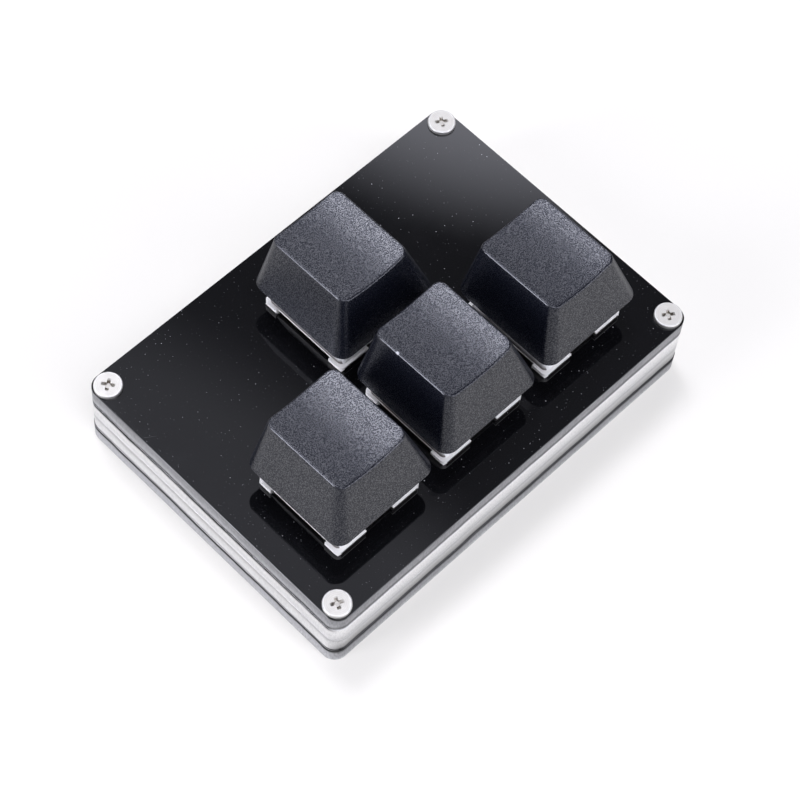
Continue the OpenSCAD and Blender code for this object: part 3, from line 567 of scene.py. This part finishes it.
def spring_mesh(name, turns=9, closed=0.75, per_turn=24, sides=8):
    """A helix of round wire, closed at both ends for that part of a turn."""
    span, steps, shut = spring_high - spring_low, turns * per_turn, int(closed * per_turn)
    closed_rise = 2 * wire_r / per_turn
    open_rise = (span - 2 * closed * 2 * wire_r) / (steps - 2 * shut)
    rise = [0.0]
    for i in range(steps):
        rise.append(rise[-1] + (open_rise if shut <= i < steps - shut else closed_rise))
    points, faces = [], []
    for i in range(steps + 1):
        a = 2 * math.pi * i / per_turn
        for k in range(sides):
            b = 2 * math.pi * k / sides
            r, z = coil_r + wire_r * math.cos(b), spring_low + rise[i] + wire_r * math.sin(b)
            points.append((r * math.cos(a), r * math.sin(a), z))
    for i in range(steps):
        for k in range(sides):
            a, b = i * sides + k, i * sides + (k + 1) % sides
            faces.append((a, a + sides, b + sides, b))
    last = steps * sides
    faces += [tuple(range(sides)), tuple(reversed(range(last, last + sides)))]
    return mesh_object(name, points, faces)


wire = metal("spring_steel", (0.5, 0.46, 0.38), (0.72, 0.68, 0.58), 0.2, 0.35)
for key, (x, y) in keys.items():
    spring = spring_mesh("spring_" + key)
    spring.data.transform(Matrix.Translation((x * MM, y * MM, 0)))
    spring.data.shade_smooth()
    wear(spring, wire)
    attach(spring, "case")
    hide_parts("return_spring_" + key)
    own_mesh(spring)


# Stems: the sliders, moulded in a smooth, hard-wearing plastic. Each carries the cap on its cross
# and runs in the housing's opening and on the pole in the base.
stem_plastic = moulded("stem_plastic", (0.42, 0.035, 0.03), (0.5, 0.05, 0.04), 0.25, 0.35,
                       scale=0.8, depth=0.000004)
for key in keys:
    wear(nodes["stem_" + key], stem_plastic)


# Switch tops: the milky upper housings, moulded in polycarbonate and set on the bases.
# The side walls have painted shade at their foot, where they meet the base.
milky = moulded("housing_milky", (0.8, 0.805, 0.8), (0.87, 0.875, 0.87), 0.25, 0.4,
                scale=0.8, depth=0.000004)
paint_shade(milky, beside=(6.55, 6.65), height=(13.7, 13.2), colour=(0.13, 0.12, 0.11))
for key in keys:
    wear(nodes["switch_top_" + key], milky)


# Keycaps: tall sculpted caps, moulded in black plastic with a fine spark-eroded grain. The touch
# surface is a shallow trough with crisp, slightly rounded edges, and a post inside grips the stem.
# The heights here are over the plate.
rim_z, rim_x, rim_y, rim_r = 5.4, 8.75, 8.7, 1.9
top_x, top_front, top_back, top_r, front_z, back_z = 5.9, 5.6, 7.9, 1.2, 13.9, 13.7
dish, wall, hollow_r, ceiling_z = 0.5, 1.2, 0.8, 11.8
edge_round, mouth_round, rim_round = 0.24, 0.1, 0.15
post_z, post_r, cross_long, cross_wide = 6.7, 2.75, 2.03, 0.605
rib_half, rib_side, rib_front, rib_back, rib_deep = 0.4, 5.4, 5.1, 6.9, 0.8


def cap_level(grow, z, r):
    """One level of the cap at height z, with points round its corners and along its sides."""
    up, tall = z - rim_z, front_z - rim_z
    side, front = (rim_x - top_x) / tall * up, (rim_y - top_front) / tall * up
    rear = (rim_y - top_back) / (back_z - rim_z) * up
    corners = round_box(-rim_x - grow + side, rim_x + grow - side,
                        -rim_y - grow + front, rim_y + grow - rear, r)
    per_corner, steps = len(corners) // 4, 10
    loop = []
    for i, (x, y) in enumerate(corners):
        loop.append((x, y, z))
        if i % per_corner == per_corner - 1:
            to_x, to_y = corners[(i + 1) % len(corners)]
            loop += [(x + (to_x - x) * k / steps, y + (to_y - y) * k / steps, z)
                     for k in range(1, steps)]
    return [Vector(p) for p in loop]


def trough(x, y):
    """Height of the touch surface."""
    slope = (back_z - front_z) * (y + top_front) / (top_front + top_back)
    return front_z + slope - dish * (1 - (x / top_x) ** 2)


def cap_mesh(name):
    """A cap as one skin of rings, from the middle of its ceiling round its rim to its top."""
    low, high = cap_level(0, rim_z, rim_r), cap_level(0, front_z + dish, top_r)
    # Where the outer walls meet the trough, found step by step, before their edge is rounded
    crest = []
    for p, q in zip(low, high):
        t = 0.9
        for _ in range(8):
            at = p.lerp(q, t)
            t += (trough(at.x, at.y) - at.z) / (q.z - p.z)
        crest.append(p.lerp(q, t))
    centre = Vector((0, (top_back - top_front) / 2, 0))
    # Ceiling, inner walls and the mouth's edge
    rings = [[Vector((p.x * s, p.y * s, ceiling_z)) for p in cap_level(-wall, ceiling_z, hollow_r)]
             for s in (0.3, 0.8, 0.97)]
    rings += [cap_level(-wall, z, hollow_r) for z in (ceiling_z - 0.3, 9, 7, rim_z + mouth_round)]
    rings.append(cap_level(mouth_round - wall, rim_z, hollow_r + 0.1))
    # Rim and outer walls
    rings.append(cap_level(-rim_round, rim_z, rim_r - 0.1))
    for s in (rim_round / (front_z - rim_z), 0.15, 0.35, 0.55, 0.75, 0.9):
        rings.append([p.lerp(q, s) for p, q in zip(low, crest)])
    # Rounded edge of the touch surface
    lead_in = [q + (p - q).normalized() * edge_round for p, q in zip(low, crest)]
    lead_out = []
    for q in crest:
        v = (centre - q).to_2d().normalized() * edge_round
        lead_out.append(Vector((q.x + v.x, q.y + v.y, trough(q.x + v.x, q.y + v.y))))
    steps = 5
    for i in range(steps + 1):
        t = i / steps
        rings.append([a * (1 - t) ** 2 + q * 2 * t * (1 - t) + b * t ** 2
                      for a, q, b in zip(lead_in, crest, lead_out)])
    # Touch surface
    for s in (0.94, 0.85, 0.72, 0.55, 0.36, 0.18):
        inward = [(b.x * s, centre.y + (b.y - centre.y) * s) for b in lead_out]
        rings.append([Vector((x, y, trough(x, y))) for x, y in inward])
    n, last = len(low), len(low) * (len(rings) - 1)
    points = [tuple(p) for ring in rings for p in ring]
    faces = [(j + i, j + n + i, j + n + (i + 1) % n, j + (i + 1) % n)
             for j in range(0, last, n) for i in range(n)]
    under, top = len(points), len(points) + 1
    points += [(0, 0, ceiling_z), (0, centre.y, trough(0, centre.y))]
    faces += [(under, i, (i + 1) % n) for i in range(n)]
    faces += [(top, last + (i + 1) % n, last + i) for i in range(n)]
    add_post_and_ribs(points, faces)
    made = mesh_object(name, [(x, y, z + stack_high) for x, y, z in points], faces)
    made.data.shade_smooth()
    made.data.set_sharp_from_angle(angle=math.radians(40))
    return made


def add_walls(points, faces, loop, low, high):
    """Adds the upright walls that stand on a loop."""
    n, start = len(loop), len(points)
    points += [(x, y, z) for z in (low, high) for x, y in loop]
    for i in range(n):
        a, b = start + i, start + (i + 1) % n
        faces.append((a, b, b + n, a + n))


def add_post_and_ribs(points, faces):
    """Adds the round post with its cross-shaped socket, and the two ribs that brace it."""
    a, b = cross_long, cross_wide
    cross = [(b, -b), (b, -a), (-b, -a), (-b, -b), (-a, -b), (-a, b),
             (-b, b), (-b, a), (b, a), (b, b), (a, b), (a, -b)]
    post = arc(0, 0, post_r, 0, 360, 32)[:-1]
    for loop in (post, cross):
        add_walls(points, faces, loop, post_z, ceiling_z + 0.2)
    foot = [[Vector((x, y, 0)) for x, y in loop] for loop in (post, cross)]
    start = len(points)
    points += [(p.x, p.y, post_z) for loop in foot for p in loop]
    faces += [(start + i, start + k, start + j) for i, j, k in tessellate_polygon(foot)]
    for x0, x1, y0, y1 in ((-rib_side, rib_side, -rib_half, rib_half),
                           (-rib_half, rib_half, -rib_front, rib_back)):
        start = len(points)
        faces.append((start + 3, start + 2, start + 1, start))
        add_walls(points, faces, ((x0, y0), (x1, y0), (x1, y1), (x0, y1)),
                  ceiling_z - rib_deep, ceiling_z + 0.1)


cap_plastic, tree, sockets = new_finish("keycap_plastic", IOR=1.38, Coat_Roughness=0.31,
                                        Coat_IOR=1.55, Specular_Tint=(0.88, 0.91, 1, 1))
height = use(tree, grain, Scale=1.6)["Height"]
where = put(tree, "TexCoord").outputs
# Colour: the grain's tone, and a pale nick in the left rim of the down key's cap
grainy = blend_colour(tree, height, (0.0026, 0.0031, 0.0056), (0.0066, 0.0078, 0.013))
nick_at, nick_r, nick_fade = (-0.0059, -0.0059, 0.0257), 0.00015, 0.0003
nick = put(tree, "VectorMath", operation="DISTANCE", i0=where["Object"], i1=nick_at)
nick = between(tree, nick.outputs["Value"], nick_r, nick_fade, 1.0, 0.0)
tree.links.new(blend_colour(tree, nick, grainy, (0.4, 0.4, 0.42)), sockets["Base Color"])
# The rounded rim that faces left is polished by the mould's edge and catches a thin line of light
turned = put(tree, "SeparateXYZ", Vector=where["Normal"]).outputs
level = turned["Z"]
rim_highlight = between(tree, level, 0.5, 0.62)
for value, start, end in ((level, 0.86, 0.94), (turned["X"], -0.5, -0.3)):
    rim_highlight = calc(tree, "MULTIPLY", rim_highlight, between(tree, value, start, end, 1.0, 0.0))
# Roughness: the walls are a little smoother than the tops, and all is rougher at a flat glance
facing = put(tree, "LayerWeight", Blend=0.5).outputs["Facing"]
rough = between(tree, height, 0.3, 0.7, 0.25, 0.31)
graze = between(tree, facing, 0.6, 0.9, 0.0, 0.5)
walls = between(tree, level, 0.4, 0.7, -0.09, 0.0)
smooth = calc(tree, "MULTIPLY", rim_highlight, -0.12)
tree.links.new(total(tree, (rough, graze, walls, smooth)), sockets["Roughness"])
# The grain's tips shine, less so at a flat glance, and their range is narrower on the tops
low = between(tree, level, 0.4, 0.7, 0.43, 0.47)
high = between(tree, level, 0.4, 0.7, 0.63, 0.59)
tips = between(tree, height, low, high)
most = between(tree, facing, 0.4, 0.75, 1.0, 0.0)
coat = calc(tree, "MAXIMUM", calc(tree, "MULTIPLY", tips, most), rim_highlight)
tree.links.new(coat, sockets["Coat Weight"])
relief(tree, sockets, height, strength=between(tree, rim_highlight, 0.0, 1.0, 1.0, 0.15), depth=0.000034)
for key, (x, y) in keys.items():
    cap = cap_mesh("cap_" + key)
    cap.data.transform(Matrix.Translation((x * MM, y * MM, 0)))
    wear(cap, cap_plastic)
    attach(cap, "key_" + key)
    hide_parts("keycap_" + key)


# Case screws: small nickel-plated machine screws with low round heads and a cross recess.
# They go down through the four sheets at the corners and pull the stack together.
highlight_from, highlight_to, recess_r, recess_fade, recess_z, head_z = 1.65, 1.75, 1.1, 1.2, 12.35, 12.5
nickel, tree, sockets = new_finish("nickel_screw", Metallic=1.0)
place = put(tree, "TexCoord").outputs["Object"]
folded = put(tree, "VectorMath", operation="ABSOLUTE", i0=place).outputs[0]
middle = (screw_x * MM, screw_y * MM, 0)
offset = put(tree, "VectorMath", operation="SUBTRACT", i0=folded, i1=middle).outputs[0]
flat = put(tree, "VectorMath", operation="MULTIPLY", i0=offset, i1=(1, 1, 0)).outputs[0]
radius = put(tree, "VectorMath", operation="LENGTH", i0=flat).outputs["Value"]
# Turning marks round the head's middle, and a painted highlight on its rim
turning = 26000
rings = between(tree, calc(tree, "SINE", calc(tree, "MULTIPLY", radius, turning)), -1.0, 1.0)
face = blend_colour(tree, rings, (0.54, 0.525, 0.48), (0.6, 0.585, 0.545))
rim_highlight = between(tree, radius, highlight_from * MM, highlight_to * MM)
face = blend_colour(tree, rim_highlight, face, (0.68, 0.67, 0.64))
# Painted shade in the arms of the cross recess, less in its middle, broken by paler patches of
# painted reflection
marks = use(tree, metal_texture, Scale=0.7)["Marks"]
height = put(tree, "SeparateXYZ", Vector=place).outputs["Z"]
deep = between(tree, height, recess_z * MM, head_z * MM, 1.0, 0.0)
inside = between(tree, radius, recess_r * MM, recess_fade * MM, 1.0, 0.0)
arms = between(tree, radius, 0.0003, 0.00045, 0.25, 1.0)
recess_shade = calc(tree, "MULTIPLY", calc(tree, "MULTIPLY", deep, inside), arms)
patches = between(tree, marks, 0.42, 0.58)
recess_shade_colour = blend_colour(tree, patches, (0.12, 0.1, 0.075), (0.5, 0.47, 0.42))
tree.links.new(blend_colour(tree, recess_shade, face, recess_shade_colour), sockets["Base Color"])
tree.links.new(between(tree, marks, 0.25, 0.75, 0.5, 0.6), sockets["Roughness"])
relief(tree, sockets, rings, strength=0.5, depth=0.000006)
wear(nodes["case_screws"], nickel)
